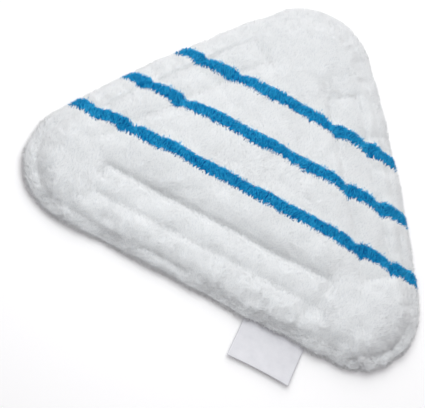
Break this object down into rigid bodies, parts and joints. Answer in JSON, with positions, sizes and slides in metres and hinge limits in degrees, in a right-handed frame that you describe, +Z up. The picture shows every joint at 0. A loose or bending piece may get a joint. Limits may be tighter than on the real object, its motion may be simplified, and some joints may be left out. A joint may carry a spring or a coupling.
{
  "type": "steam mop pad",
  "caption": "Triangular plush microfibre pad for a steam mop, white with blue stripes, foam inside, loop tapes on its back and a folded pull tab on the base edge.",
  "frame": {"origin": "on the surface that the pad lies on, under the middle of the box of pad and tab together", "axes": "+X along the straight base edge, towards the end with the pull tab; +Y from the base edge to the tip; +Z up out of the pile"},
  "size_m": [0.29, 0.255, 0.0139],
  "materials": {
    "white_plush": "cut polyester microfibre plush, soft and matt",
    "blue_plush": "dyed polyester microfibre plush, soft and matt",
    "knit_ground": "warp-knitted polyester",
    "foam": "open-cell polyurethane foam sheet",
    "back_cloth": "plain woven polyester",
    "loop_tape": "napped loop of a hook-and-loop fastener",
    "thread": "spun polyester sewing thread",
    "satin_tape": "woven satin ribbon, a little glossy"
  },
  "bodies": {
    "pad": {"face_ground": "knit_ground", "foam_core": "foam", "back_cloth": "back_cloth", "hem_needle_thread": "thread", "hem_bobbin_thread": "thread", "edge_seam_thread": "thread", "tab_root": "satin_tape", "white_pile_base": "white_plush", "white_pile_lower": "white_plush", "white_pile_upper": "white_plush", "white_pile_tip": "white_plush", "blue_stripe_lower": "blue_plush", "blue_stripe_middle": "blue_plush", "blue_stripe_upper": "blue_plush", "loop_tape_base": "loop_tape", "tape_needle_thread_base": "thread", "tape_bobbin_thread_base": "thread", "loop_tape_right": "loop_tape", "tape_needle_thread_right": "thread", "tape_bobbin_thread_right": "thread", "loop_tape_left": "loop_tape", "tape_needle_thread_left": "thread", "tape_bobbin_thread_left": "thread"},
    "pull_tab": {"pull_tab": "satin_tape"}
  },
  "joints": [
    {"name": "tab_fold", "type": "hinge", "parent": "pad", "child": "pull_tab", "pos_m": [0.058, -0.1015, 0.00135], "axis": [-1, 0, 0], "range_deg": [-90, 90]}
  ]
}
